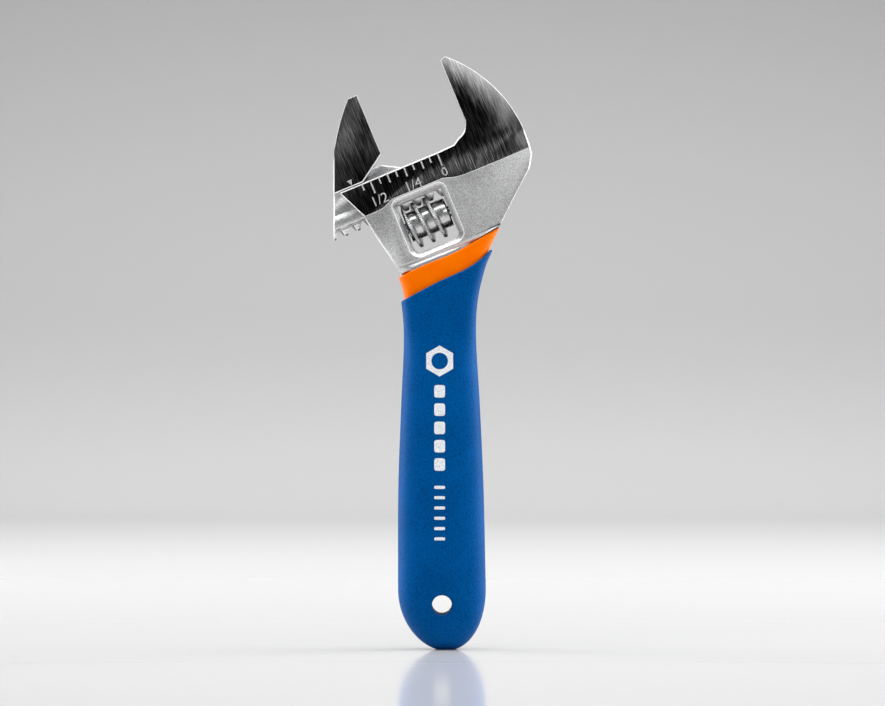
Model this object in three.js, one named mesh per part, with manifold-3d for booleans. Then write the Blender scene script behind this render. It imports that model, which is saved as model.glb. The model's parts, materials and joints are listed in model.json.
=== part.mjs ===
// Adjustable wrench, four-inch size, with a dipped two-layer grip. Millimetres, +Z up.
// The handle stands along Z with its end flat at the origin; the flats of the head face -Y and +Y.
// The head leans over by JAW_ANGLE, so it is drawn in a frame of its own: a runs along the slide,
// towards the fixed jaw, b runs up the jaw faces, and (0, 0) is on the handle's centreline.
import * as THREE from "three";
import { mergeVertices } from "three/addons/utils/BufferGeometryUtils.js";
import Module from "manifold-3d";

// Overall
const HEAD_Z = 72; // height of the head frame's origin
const JAW_ANGLE = THREE.MathUtils.degToRad(22.5);
const OPENING = 15.9; // between the jaws at rest, 5/8 inch
const CLOSED_GAP = 0.2; // left between the jaws at the end of the travel
const TRAVEL = OPENING - CLOSED_GAP;
const HEAD_THICK = 7.6; // over the satin faces
const GROUND_STEP = 0.2; // ground off each side at the jaws and the scale
const GROUND_THICK = HEAD_THICK - 2 * GROUND_STEP;

// Head and jaws, in the head frame
const SLIDE_B = 14.4; // the slideway
const FIXED_A = 11.75; // face of the fixed jaw
const MOVING_A = FIXED_A - OPENING; // face of the moving jaw
const FACE_LOW_B = 17.7; // lower end of both jaw faces
const FACE_TOP_B = 29;
const TIP_WIDTH = 0.95; // flat on the fixed jaw's nose
const FIXED_BACK_R = 23.64; // round back of the fixed jaw
const MOVING_BACK_R = 37.2; // round back of the moving jaw
const SHOULDER = new THREE.Vector2(20.3, 7.8); // where the fixed jaw's back meets the flank
const FLANK = [new THREE.Vector2(19.05, 5.75), new THREE.Vector2(15.95, 3.25), new THREE.Vector2(7.55, -4)];
const LEFT_EDGE = [new THREE.Vector2(-8.7, -4), new THREE.Vector2(-9.65, 1), new THREE.Vector2(-10.35, 4),
  new THREE.Vector2(-11.05, 8.9)];
const GROUND_B = 9; // lower edge of the ground faces

// Worm, thread and rack
const WORM_B = 4.13; // height of the worm's axis
const WORM_R = 4;
const WORM_ROOT_R = 2.6;
const PITCH = 2.3; // one right-handed start
const CREST = 0.62; // width of the thread at its crest
const FLANK_SLOPE = 0.32; // growth of the thread's half width, per millimetre of depth
const PLAIN_HUB = 1.3; // unthreaded right end of the worm
const MESH_A = -0.2; // a thread ridge stands here where the worm meets the rack
const TIP_CLEARANCE = 0.3; // crest to tooth gap, and tooth to core
const TOOTH_CLEARANCE = 0.15; // each side of a tooth
const END_PLAY = 0.25; // each end of the worm
const ROD_R = 2.2; // round rod that carries the rack
const ROD_B = WORM_B + WORM_ROOT_R + TIP_CLEARANCE + ROD_R;
const WEB_THICK = 2.6; // neck between the moving jaw and its rod
const SLIDE_CLEARANCE = 0.15; // each side of the web, the rod and the slideway

// Window for the worm
const WINDOW_WIDTH = 8.3;
const WINDOW_A = -0.9; // its middle
const WINDOW_LOW_B = WORM_B - WORM_R - 0.75;
const WINDOW_TOP_B = WORM_B + WORM_R + 0.55;
const WINDOW_CORNER_R = 1;
const RIM = 0.9; // bevel round the window
const WORM_LENGTH = WINDOW_WIDTH - 2 * END_PLAY;
const WORM_LEFT = WINDOW_A - WORM_LENGTH / 2;

// Pin and spring
const PIN_R = 1;
const PIN_HEAD_R = 1.35;
const PIN_HEAD_LENGTH = 1.5;
const PIN_LEFT = -10.05;
const PIN_SEAT = 2.8; // length of pin beyond the window's right wall
const PIN_CLEARANCE = 0.15;
const SLOT_WIDTH = 0.45;
const SPRING_POCKET_R = 1.95;
const SPRING_POCKET_DEPTH = 3;
const WIRE_R = 0.16;
const SPRING_R = (PIN_R + SPRING_POCKET_R) / 2; // to the middle of the wire
const SPRING_TURNS = 4;

// Grip: the outer skin, and the layers below it
const END_LENGTH = 10.6; // rounded end of the grip
const END_CROP = 0.25; // cut off the rounded end to make its flat
const END_SKEW = 0.75; // the end leans this far to the right
const WAIST_Z = HEAD_Z - 17;
const PALM_Z = THREE.MathUtils.lerp(END_LENGTH, WAIST_Z, 0.4);
const MIDDLE_Z = THREE.MathUtils.lerp(END_LENGTH, WAIST_Z, 0.75);
const PALM_HALF_WIDTH = 7.73;
const PALM_HALF_THICK = 4.7;
const OUTER_DIP = 0.6;
const INNER_DIP = 0.5; // at the collar
const INNER_DIP_PALM = 0.9; // extra in the palm of the grip
const LAYER_GAP = 0.12;
const LIP_GAP = 0.3; // between the collar and the head
const HOLE_Z = 7.96;
const HOLE_R = 1.75;
const HOLE_LINER = 0.5; // each layer where it lines the hole
const INNER_SKIN = OUTER_DIP + LAYER_GAP; // depth of the inner layer below the outer skin
const METAL_SKIN = INNER_SKIN + INNER_DIP + LAYER_GAP;
const METAL_HOLE_R = HOLE_R + 2 * (HOLE_LINER + LAYER_GAP);
const COLLAR_HALF_THICK = HEAD_THICK / 2 + METAL_SKIN - 0.1;

// Half widths and half thickness of the outer skin, as [height, value].
const SKIN_LEFT = [[END_LENGTH, PALM_HALF_WIDTH], [PALM_Z, PALM_HALF_WIDTH - 0.05],
  [MIDDLE_Z, PALM_HALF_WIDTH - 0.6], [WAIST_Z, PALM_HALF_WIDTH - 1.02], [HEAD_Z - 10.8, 7.2],
  [HEAD_Z - 6.7, 8.35], [HEAD_Z - 2.8, 10.6], [HEAD_Z + 4, 14.8]];
const SKIN_RIGHT = [[END_LENGTH, PALM_HALF_WIDTH], [PALM_Z, PALM_HALF_WIDTH - 0.4],
  [MIDDLE_Z, PALM_HALF_WIDTH - 1.1], [WAIST_Z, PALM_HALF_WIDTH - 1.72], [HEAD_Z - 10.8, 6.3],
  [HEAD_Z - 5, 7.6], [HEAD_Z - 2.1, 8.8], [HEAD_Z + 2.1, 10.85], [HEAD_Z + 4, 11.8]];
const SKIN_THICK = [[END_LENGTH, PALM_HALF_THICK], [PALM_Z, PALM_HALF_THICK],
  [WAIST_Z, PALM_HALF_THICK - 0.15], [HEAD_Z - 12, COLLAR_HALF_THICK], [HEAD_Z + 4, COLLAR_HALF_THICK]];
// Upper edges of the two layers, in the head frame.
const INNER_TOP = [[-14, -3.4], [-9.8, -3.2], [-5, -2.95], [0.5, -3.05], [5.05, -2.65],
  [10.05, -1.9], [14, -1]];
const OUTER_TOP = [[-14, -7.5], [-10.8, -7.2], [-3.25, -6.6], [1.75, -6.5], [5.25, -5.95],
  [7.05, -5.3], [14, -2]];

const SIDES = 28; // round the grip
const BIG = 60; // reaches past every piece

const wasm = await Module();
wasm.setup();

// A three.js geometry as a solid, with its shared vertices merged and its flat triangles left out.
function solid(geometry, matrix) {
  const bare = new THREE.BufferGeometry();
  bare.setAttribute("position", geometry.getAttribute("position").clone());
  if (geometry.index) bare.setIndex(geometry.index.clone());
  if (matrix) bare.applyMatrix4(matrix);
  const merged = mergeVertices(bare, 1e-4);
  const corners = [];
  const index = merged.index.array;
  for (let i = 0; i < index.length; i += 3) {
    const [p, q, r] = [index[i], index[i + 1], index[i + 2]];
    if (p !== q && q !== r && r !== p) corners.push(p, q, r);
  }
  return new wasm.Manifold(
    new wasm.Mesh({
      numProp: 3,
      vertProperties: merged.attributes.position.array,
      triVerts: new Uint32Array(corners),
    }),
  );
}

function geometryOf(made) {
  const mesh = made.getMesh();
  const geometry = new THREE.BufferGeometry();
  geometry.setAttribute("position", new THREE.BufferAttribute(new Float32Array(mesh.vertProperties), 3));
  geometry.setIndex(new THREE.BufferAttribute(new Uint32Array(mesh.triVerts), 1));
  geometry.computeVertexNormals();
  return geometry;
}

// Head frame to part frame, and back.
const HEAD = new THREE.Matrix4().makeRotationY(-JAW_ANGLE).setPosition(0, 0, HEAD_Z);
const FROM_PART = HEAD.clone().invert();

// A flat outline drawn in (x, z), made thick about y = 0.
function plate(shape, thick, options = {}) {
  const geometry = new THREE.ExtrudeGeometry(shape, {
    depth: thick,
    bevelEnabled: false,
    curveSegments: 24,
    ...options,
  });
  geometry.translate(0, 0, -thick / 2);
  geometry.rotateX(Math.PI / 2);
  return geometry;
}

function box(lowX, highX, thick, lowZ, highZ) {
  const geometry = new THREE.BoxGeometry(highX - lowX, thick, highZ - lowZ);
  return geometry.translate((lowX + highX) / 2, 0, (lowZ + highZ) / 2);
}

// A turned piece: its profile is (radius, place along the head frame's a axis), at height b.
function turned(profile, b, segments = 36) {
  const points = profile.map(([radius, along]) => new THREE.Vector2(radius, along));
  const geometry = new THREE.LatheGeometry(points, segments);
  geometry.rotateZ(-Math.PI / 2);
  return geometry.translate(0, 0, b);
}

function rod(radius, low, high, b, segments) {
  return turned([[0, low], [radius, low], [radius, high], [0, high]], b, segments);
}

// Centre of the circle of the given radius through two points, on the right of the way between them.
function circleCentre(from, to, radius) {
  const half = to.clone().sub(from).multiplyScalar(0.5);
  const reach = Math.sqrt(radius * radius - half.lengthSq());
  const side = new THREE.Vector2(half.y, -half.x).normalize();
  return from.clone().add(half).addScaledVector(side, reach);
}

function arcTo(shape, from, to, radius, clockwise) {
  const centre = clockwise ? circleCentre(from, to, radius) : circleCentre(to, from, radius);
  const start = from.clone().sub(centre).angle();
  const end = to.clone().sub(centre).angle();
  shape.absarc(centre.x, centre.y, radius, start, end, clockwise);
}

// Smooth curve through [place, value] knots.
function along(knots, place) {
  let i = 0;
  while (i < knots.length - 2 && place > knots[i + 1][0]) i++;
  const slope = (k) => {
    const [before, after] = [knots[Math.max(k - 1, 0)], knots[Math.min(k + 1, knots.length - 1)]];
    return (after[1] - before[1]) / (after[0] - before[0]);
  };
  const [[x0, y0], [x1, y1]] = [knots[i], knots[i + 1]];
  const span = x1 - x0;
  const t = (place - x0) / span;
  const [t2, t3] = [t * t, t * t * t];
  return (
    y0 * (2 * t3 - 3 * t2 + 1) +
    y1 * (3 * t2 - 2 * t3) +
    span * (slope(i) * (t3 - 2 * t2 + t) + slope(i + 1) * (t3 - t2))
  );
}

// Everything in the head frame that lies below (or above) one of the grip's upper edges.
function edgeRegion(knots, lift, farB) {
  const shape = new THREE.Shape();
  const [first, last] = [knots[0][0], knots[knots.length - 1][0]];
  const steps = 24;
  shape.moveTo(-2 * BIG, farB);
  shape.lineTo(-2 * BIG, along(knots, first) + lift);
  for (let i = 0; i <= steps; i++) {
    const a = THREE.MathUtils.lerp(first, last, i / steps);
    shape.lineTo(a, along(knots, a) + lift);
  }
  shape.lineTo(2 * BIG, along(knots, last) + lift);
  shape.lineTo(2 * BIG, farB);
  return plate(shape, 2 * BIG);
}

// The body of the grip at a depth below its outer skin: rounded sections stacked along Z.
function gripBody(depth, palmExtra, topZ) {
  const endRows = 7;
  const rows = 24;
  const bottom = depth + palmExtra;
  const geometry = new THREE.CylinderGeometry(1, 1, 1, SIDES, rows, false, Math.PI / SIDES);
  geometry.rotateX(Math.PI / 2);
  const place = geometry.getAttribute("position");
  for (let i = 0; i < place.count; i++) {
    const [x, y] = [place.getX(i), place.getY(i)];
    const row = Math.round((place.getZ(i) + 0.5) * rows);
    let z = THREE.MathUtils.lerp(END_LENGTH, topZ, (row - endRows) / (rows - endRows));
    if (row < endRows) z = bottom + (END_LENGTH - bottom) * (1 - Math.cos((row / endRows) * (Math.PI / 2)));
    const inEnd = Math.min(1, (z - bottom + END_CROP) / (END_LENGTH - bottom + END_CROP));
    const taper = Math.sqrt(1 - (1 - inEnd) ** 2);
    const above = Math.max(z, END_LENGTH);
    const inset = depth + palmExtra * (1 - THREE.MathUtils.smoothstep(z, HEAD_Z - 26, HEAD_Z - 13));
    const left = (along(SKIN_LEFT, above) - inset) * taper;
    const right = (along(SKIN_RIGHT, above) - inset) * taper;
    const thick = (along(SKIN_THICK, above) - inset) * taper;
    const centre = (right - left) / 2 + END_SKEW * (1 - inEnd) ** 2;
    const power = 2 / (2.5 + 2 * THREE.MathUtils.smoothstep(z, HEAD_Z - 22, HEAD_Z - 10));
    const reach = Math.hypot(x, y);
    const [c, s] = reach > 1e-6 ? [x / reach, y / reach] : [0, 0];
    // A facet, not a corner, faces each way, so that the grip lies still on its face.
    const facet = Math.cos(Math.PI / SIDES) ** power;
    const round = (v) => ((Math.sign(v) * Math.abs(v) ** power) / facet) * reach;
    place.setXYZ(i, centre + ((left + right) / 2) * round(c), thick * round(s), z);
  }
  return geometry;
}

function handleHole(radius) {
  const geometry = new THREE.CylinderGeometry(radius, radius, BIG, 28);
  return solid(geometry.translate(0, 0, HOLE_Z));
}

// One dipped layer of the grip: closed at the end, open at the top, and lining the hole.
function sleeve(skin, wallDepth, wallPalm, topEdge, holeRadius) {
  const topZ = HEAD_Z + 4;
  const outside = solid(gripBody(skin, 0, topZ));
  const hollow = solid(gripBody(wallDepth, wallPalm, topZ));
  const lined = hollow.subtract(handleHole(holeRadius + HOLE_LINER));
  return outside
    .subtract(lined)
    .subtract(handleHole(holeRadius))
    .intersect(solid(edgeRegion(topEdge, 0, -BIG * 2), HEAD));
}

// Outline of the head and the fixed jaw.
function headOutline() {
  const shape = new THREE.Shape();
  const tip = new THREE.Vector2(FIXED_A + TIP_WIDTH, FACE_TOP_B + 0.4);
  shape.moveTo(MOVING_A - 9.3, SLIDE_B);
  shape.lineTo(FIXED_A - 6.8, SLIDE_B);
  shape.lineTo(FIXED_A - 3.5, SLIDE_B + 0.15);
  shape.lineTo(FIXED_A - 2.3, SLIDE_B + 0.9);
  shape.quadraticCurveTo(FIXED_A - 0.35, SLIDE_B + 1.5, FIXED_A, FACE_LOW_B);
  shape.lineTo(FIXED_A, FACE_TOP_B);
  shape.lineTo(tip.x, tip.y);
  arcTo(shape, tip, SHOULDER, FIXED_BACK_R, true);
  FLANK.forEach((point) => shape.lineTo(point.x, point.y));
  LEFT_EDGE.forEach((point) => shape.lineTo(point.x, point.y));
  return shape;
}

// The ground faces: everything above this edge, which steps up over the window's rim.
function groundOutline() {
  const rimB = WINDOW_TOP_B + RIM + 0.3;
  const [left, right] = [WINDOW_A - WINDOW_WIDTH / 2 - 0.2, WINDOW_A + WINDOW_WIDTH / 2 + 0.7];
  const shape = new THREE.Shape();
  shape.moveTo(-BIG, GROUND_B);
  shape.lineTo(left - 3.2, GROUND_B - 0.1);
  shape.bezierCurveTo(left - 1.6, GROUND_B, left - 1.1, rimB - 0.3, left, rimB);
  shape.lineTo(right, rimB);
  shape.bezierCurveTo(right + 1.2, rimB - 0.1, right + 1.8, GROUND_B, right + 5, GROUND_B);
  shape.lineTo(BIG, GROUND_B);
  shape.lineTo(BIG, BIG);
  shape.lineTo(-BIG, BIG);
  return shape;
}

function windowOutline() {
  const [low, high] = [WINDOW_A - WINDOW_WIDTH / 2, WINDOW_A + WINDOW_WIDTH / 2];
  const r = WINDOW_CORNER_R;
  const shape = new THREE.Shape();
  shape.absarc(high - r, WINDOW_LOW_B + r, r, -Math.PI / 2, 0);
  shape.absarc(high - r / 2, WINDOW_TOP_B - r / 2, r / 2, 0, Math.PI / 2);
  shape.absarc(low + r / 2, WINDOW_TOP_B - r / 2, r / 2, Math.PI / 2, Math.PI);
  shape.absarc(low + r, WINDOW_LOW_B + r, r, Math.PI, Math.PI * 1.5);
  return shape;
}

// Both flats of the head cut back to the ground thickness.
function groundCut() {
  const outline = solid(plate(groundOutline(), BIG));
  return outline.subtract(solid(box(-2 * BIG, 2 * BIG, GROUND_THICK, -BIG, 2 * BIG)));
}

function windowCut() {
  const outline = windowOutline();
  const rim = plate(outline, RIM, {
    curveSegments: 5,
    bevelEnabled: true,
    bevelSegments: 1,
    bevelSize: RIM,
    bevelThickness: RIM,
  });
  const face = HEAD_THICK / 2 + RIM / 2;
  return solid(plate(outline, BIG, { curveSegments: 5 }))
    .add(solid(rim.clone().translate(0, face, 0)))
    .add(solid(rim.clone().translate(0, -face, 0)));
}

// Bore for the rack's rod, right through the head, and the slot above it for the web and its foot.
function slideCut() {
  const slotEnd = MOVING_A + TRAVEL + 2.3 + 0.5;
  const bore = solid(rod(ROD_R + SLIDE_CLEARANCE, -BIG, BIG, ROD_B, 28));
  const slot = box(-BIG, slotEnd, WEB_THICK + 2 * SLIDE_CLEARANCE, ROD_B, SLIDE_B + 2.2);
  return bore.add(solid(slot));
}

function pinCut() {
  const right = WINDOW_A + WINDOW_WIDTH / 2 + PIN_SEAT + LIP_GAP;
  const seat = PIN_LEFT + PIN_HEAD_LENGTH + PIN_CLEARANCE;
  const [thin, wide] = [PIN_R + PIN_CLEARANCE, PIN_HEAD_R + PIN_CLEARANCE];
  const profile = [[0, -BIG], [wide, -BIG], [wide, seat], [thin, seat], [thin, right], [0, right]];
  return solid(turned(profile, WORM_B, 24));
}

// The forging: head, fixed jaw and the shank inside the grip.
function wrenchBody() {
  const thinning = new THREE.Shape();
  const face = HEAD_THICK / 2;
  thinning.moveTo(-face + 0.3, -BIG);
  thinning.lineTo(face - 0.3, -BIG);
  thinning.lineTo(face - 0.3, -3.2);
  thinning.lineTo(face, WINDOW_LOW_B - RIM);
  thinning.lineTo(face, BIG);
  thinning.lineTo(-face, BIG);
  thinning.lineTo(-face, WINDOW_LOW_B - RIM);
  thinning.lineTo(-face + 0.3, -3.2);
  const envelope = solid(plate(thinning, 2 * BIG).rotateZ(Math.PI / 2));
  const head = solid(plate(headOutline(), HEAD_THICK + 1))
    .intersect(envelope)
    .subtract(groundCut())
    .intersect(solid(edgeRegion(INNER_TOP, LIP_GAP, 2 * BIG)))
    .subtract(windowCut())
    .subtract(slideCut())
    .subtract(pinCut());
  const shank = solid(gripBody(METAL_SKIN, INNER_DIP_PALM, HEAD_Z + 4), FROM_PART)
    .intersect(solid(edgeRegion(INNER_TOP, LIP_GAP + 0.2, -2 * BIG)));
  return solid(geometryOf(head.add(shank)), HEAD).subtract(handleHole(METAL_HOLE_R));
}

// The moving jaw: nose, web with its foot, and the rod with the rack.
function movingJaw() {
  const low = SLIDE_B + SLIDE_CLEARANCE;
  const heel = new THREE.Vector2(MOVING_A - 10.4, low);
  const nose = new THREE.Vector2(MOVING_A - 1.7, FACE_TOP_B);
  const jaw = new THREE.Shape();
  jaw.moveTo(heel.x, heel.y);
  jaw.lineTo(MOVING_A - 4.8, low);
  jaw.lineTo(MOVING_A, FACE_LOW_B + 0.1);
  jaw.lineTo(MOVING_A, FACE_TOP_B);
  jaw.lineTo(nose.x, nose.y);
  arcTo(jaw, nose, heel, MOVING_BACK_R, false);
  const web = new THREE.Shape();
  web.moveTo(MOVING_A - 12, ROD_B);
  web.lineTo(MOVING_A + 2.3, ROD_B);
  web.lineTo(MOVING_A + 2.3, low);
  web.lineTo(MOVING_A - 0.7, SLIDE_B + 1.8);
  web.lineTo(MOVING_A - 6, SLIDE_B + 1.8);
  web.lineTo(MOVING_A - 9.5, low + 0.3);
  web.lineTo(MOVING_A - 12, low - 0.2);
  const rodEnd = WINDOW_A + WINDOW_WIDTH / 2 + 0.5;
  const whole = solid(plate(jaw, GROUND_THICK))
    .add(solid(plate(web, WEB_THICK)))
    .add(solid(rod(ROD_R, -BIG, rodEnd, ROD_B, 36)));
  // The web and the rod end on one upright plane, below the heel of the jaw.
  const upright = new THREE.Matrix4().makeTranslation(heel.x, 0, heel.y)
    .multiply(new THREE.Matrix4().makeRotationY(JAW_ANGLE));
  const kept = whole.intersect(solid(box(0, 2 * BIG, BIG, -BIG, BIG), upright));
  return toothGaps(rodEnd).reduce((left, gap) => left.subtract(gap), kept);
}

// The gaps between the rack's teeth, each shaped like the worm's thread and leaning with it.
function toothGaps(rodEnd) {
  const halfWidth = (radius) => CREST / 2 + FLANK_SLOPE * (WORM_R - radius) + TOOTH_CLEARANCE;
  const [tip, root] = [WORM_R + TIP_CLEARANCE, WORM_ROOT_R];
  const shape = new THREE.Shape();
  shape.moveTo(-halfWidth(root), WORM_B + root);
  shape.lineTo(halfWidth(root), WORM_B + root);
  shape.lineTo(halfWidth(tip), WORM_B + tip);
  shape.lineTo(-halfWidth(tip), WORM_B + tip);
  const lean = PITCH / (2 * Math.PI * (WORM_R - (WORM_R - WORM_ROOT_R) / 2.5));
  const leaning = new THREE.Matrix4().makeShear(0, 0, -lean, 0, 0, 0);
  const first = Math.ceil((MOVING_A - 14 - MESH_A) / PITCH);
  const last = Math.floor((rodEnd + 0.5 - MESH_A) / PITCH);
  const made = [];
  for (let tooth = first; tooth <= last; tooth++) {
    const gap = plate(shape, 4 * ROD_R).applyMatrix4(leaning);
    made.push(solid(gap.translate(MESH_A + tooth * PITCH, 0, 0)));
  }
  return made;
}

// The worm: a core bored for the pin and the spring, with one right-handed thread ridge round it.
function worm() {
  const right = WORM_LEFT + WORM_LENGTH;
  const [bore, pocket] = [PIN_R + PIN_CLEARANCE, WORM_LEFT + SPRING_POCKET_DEPTH];
  const core = turned([[SPRING_POCKET_R, WORM_LEFT],
    [WORM_ROOT_R - 0.3, WORM_LEFT], [WORM_ROOT_R, WORM_LEFT + 0.3],
    [WORM_ROOT_R, right - 0.3], [WORM_ROOT_R - 0.3, right], [bore, right], [bore, pocket],
    [SPRING_POCKET_R, pocket], [SPRING_POCKET_R, WORM_LEFT]], WORM_B);
  const buried = 0.3;
  const halfWidth = (radius) => CREST / 2 + FLANK_SLOPE * (WORM_R - radius);
  const section = new THREE.Shape();
  section.moveTo(WORM_ROOT_R - buried, -halfWidth(WORM_ROOT_R));
  section.lineTo(WORM_ROOT_R, -halfWidth(WORM_ROOT_R));
  section.lineTo(WORM_R, -halfWidth(WORM_R));
  section.lineTo(WORM_R, halfWidth(WORM_R));
  section.lineTo(WORM_ROOT_R, halfWidth(WORM_ROOT_R));
  section.lineTo(WORM_ROOT_R - buried, halfWidth(WORM_ROOT_R));
  const turns = Math.ceil(WORM_LENGTH / PITCH) + 2;
  const firstTurn = Math.floor((WORM_LEFT - MESH_A) / PITCH) - 1;
  const bar = new THREE.ExtrudeGeometry(section, { depth: turns, steps: turns * 28, bevelEnabled: false });
  const place = bar.getAttribute("position");
  for (let i = 0; i < place.count; i++) {
    const [radius, across, turn] = [place.getX(i), place.getY(i), place.getZ(i) + firstTurn];
    const angle = turn * 2 * Math.PI;
    const a = MESH_A + (turn - 0.25) * PITCH - across; // the ridge meets the rack a quarter turn round
    place.setXYZ(i, a, radius * Math.cos(angle), WORM_B + radius * Math.sin(angle));
  }
  const length = rod(WORM_R + 1, WORM_LEFT, right - PLAIN_HUB, WORM_B, 12);
  return solid(core).add(solid(bar).intersect(solid(length)));
}

// The axle of the worm: a slotted screw put in from the head's left edge.
function pin() {
  const right = WINDOW_A + WINDOW_WIDTH / 2 + PIN_SEAT;
  const underHead = PIN_LEFT + PIN_HEAD_LENGTH;
  const turnedPin = turned([[0, PIN_LEFT], [PIN_HEAD_R - 0.2, PIN_LEFT], [PIN_HEAD_R, PIN_LEFT + 0.2],
    [PIN_HEAD_R, underHead], [PIN_R, underHead], [PIN_R, right - 0.3],
    [PIN_R - 0.3, right], [0, right]], WORM_B, 24);
  const [slotLow, slotHigh] = [WORM_B - 2 * PIN_HEAD_R, WORM_B + 2 * PIN_HEAD_R];
  const slot = box(PIN_LEFT - 1, PIN_LEFT + SLOT_WIDTH, SLOT_WIDTH, slotLow, slotHigh);
  return solid(turnedPin).subtract(solid(slot));
}

class Helix extends THREE.Curve {
  getPoint(t, target = new THREE.Vector3()) {
    const angle = t * SPRING_TURNS * 2 * Math.PI;
    const start = WORM_LEFT - END_PLAY + 2 * WIRE_R;
    const length = END_PLAY + SPRING_POCKET_DEPTH - 4 * WIRE_R;
    return target.set(start + length * t, SPRING_R * Math.cos(angle), WORM_B + SPRING_R * Math.sin(angle));
  }
}

function spring() {
  const wire = new THREE.Shape();
  wire.absarc(0, 0, WIRE_R, 0, 2 * Math.PI);
  const options = { extrudePath: new Helix(), steps: SPRING_TURNS * 16, curveSegments: 3 };
  options.bevelEnabled = false;
  return solid(new THREE.ExtrudeGeometry(wire, options));
}

const satin = { color: 0xb4b5b6, roughness: 0.42, metalness: 0.95 };
const bright = { color: 0xc8c9ca, roughness: 0.25, metalness: 1 };

function node(name, made, look) {
  const mesh = new THREE.Mesh(geometryOf(made), new THREE.MeshStandardMaterial(look));
  mesh.name = name;
  return mesh;
}

const wrench = new THREE.Group();
wrench.add(node("wrench_body", wrenchBody(), satin));
const outerWall = [0, OUTER_DIP, 0, OUTER_TOP, HOLE_R];
const innerHole = HOLE_R + HOLE_LINER + LAYER_GAP;
const innerWall = [INNER_SKIN, METAL_SKIN - LAYER_GAP, INNER_DIP_PALM, INNER_TOP, innerHole];
const outerLook = { color: 0x005294, roughness: 0.6, metalness: 0 };
const innerLook = { color: 0xff7301, roughness: 0.45, metalness: 0 };
wrench.add(node("grip_outer_sleeve", sleeve(...outerWall), outerLook));
wrench.add(node("grip_inner_sleeve", sleeve(...innerWall), innerLook));

const head = new THREE.Group();
head.rotation.y = -JAW_ANGLE;
head.position.z = HEAD_Z;
head.add(node("movable_jaw", movingJaw(), satin));
head.add(node("adjusting_worm", worm(), bright));
head.add(node("worm_pin", pin(), bright));
head.add(node("worm_spring", spring(), bright));
wrench.add(head);

export default wrench;
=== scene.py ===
# %% Load the frame
import json
import math

import bmesh
import bpy
from mathutils import Matrix, Vector


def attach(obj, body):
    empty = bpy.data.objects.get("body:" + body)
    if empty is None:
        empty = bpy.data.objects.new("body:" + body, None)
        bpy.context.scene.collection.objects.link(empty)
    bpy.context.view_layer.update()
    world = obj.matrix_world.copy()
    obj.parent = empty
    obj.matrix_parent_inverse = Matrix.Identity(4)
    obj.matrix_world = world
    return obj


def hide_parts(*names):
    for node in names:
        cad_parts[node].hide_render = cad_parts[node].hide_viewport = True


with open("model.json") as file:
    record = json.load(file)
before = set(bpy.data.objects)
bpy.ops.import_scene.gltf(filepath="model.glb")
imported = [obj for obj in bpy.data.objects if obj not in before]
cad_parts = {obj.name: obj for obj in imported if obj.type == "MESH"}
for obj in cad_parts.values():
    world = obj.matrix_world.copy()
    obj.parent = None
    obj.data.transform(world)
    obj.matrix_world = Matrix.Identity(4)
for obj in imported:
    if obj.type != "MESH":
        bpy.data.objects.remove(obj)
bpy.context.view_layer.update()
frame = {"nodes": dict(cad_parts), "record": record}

# %% [markdown]
# # A small adjustable wrench
# The wrench is a forged head with a fixed jaw, a jaw that slides on it, a worm that drives the
# slide, and a handle that was dipped twice in soft vinyl: first orange, then blue. The frame
# holds the exact pieces as plain solids. This lesson rebuilds each of them with fine edges, real
# thread, knurl and lips, in the same place, and gives it a finish.
#
# The head leans over from the handle. Everything on it is easier to place in a frame of its own:
# `a` runs along the slide towards the fixed jaw, `b` runs up the jaw faces, and y is shared.

# %% The head's own frame
MM = 0.001
joints = {joint["name"]: joint for joint in frame["record"]["behaviour"]["joints"]}
ALONG = Vector(joints["jaw_slide"]["axis"]).normalized()
UP = Vector((-ALONG.z, 0, ALONG.x))
WORM_B = 4.13
lean = math.atan2(ALONG.z, ALONG.x)
head_origin = Vector(joints["worm_turn"]["pos_m"]) - UP * WORM_B * MM
HEAD = Matrix((
    (ALONG.x * MM, 0, UP.x * MM, head_origin.x),
    (0, MM, 0, 0),
    (ALONG.z * MM, 0, UP.z * MM, head_origin.z),
    (0, 0, 0, 1),
))
TO_HEAD = HEAD.inverted()
HEAD_Z = head_origin.z / MM
print("the head leans by", round(math.degrees(lean), 2), "degrees at", round(HEAD_Z, 2), "mm")

# %% [markdown]
# ## Writing node trees as sums
# Both finishes and rule-made shapes are node trees. A tree is hard to read as a list of links, so
# one small class wraps a socket and lets Python's own signs add the Math nodes. Every other node
# comes from one method that takes its type, its settings and its inputs.

# %% Sockets as values
class Link:
    """One output socket of a tree, ready for sums."""

    def __init__(self, graph, socket):
        self.graph, self.socket = graph, socket

    def out(self, name):
        return Link(self.graph, self.socket.node.outputs[name])

    def __add__(self, other):
        return self.graph.maths("ADD", self, other)

    def __radd__(self, other):
        return self.graph.maths("ADD", other, self)

    def __sub__(self, other):
        return self.graph.maths("SUBTRACT", self, other)

    def __rsub__(self, other):
        return self.graph.maths("SUBTRACT", other, self)

    def __mul__(self, other):
        return self.graph.maths("MULTIPLY", self, other)

    def __rmul__(self, other):
        return self.graph.maths("MULTIPLY", other, self)

    def __truediv__(self, other):
        return self.graph.maths("DIVIDE", self, other)


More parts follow.
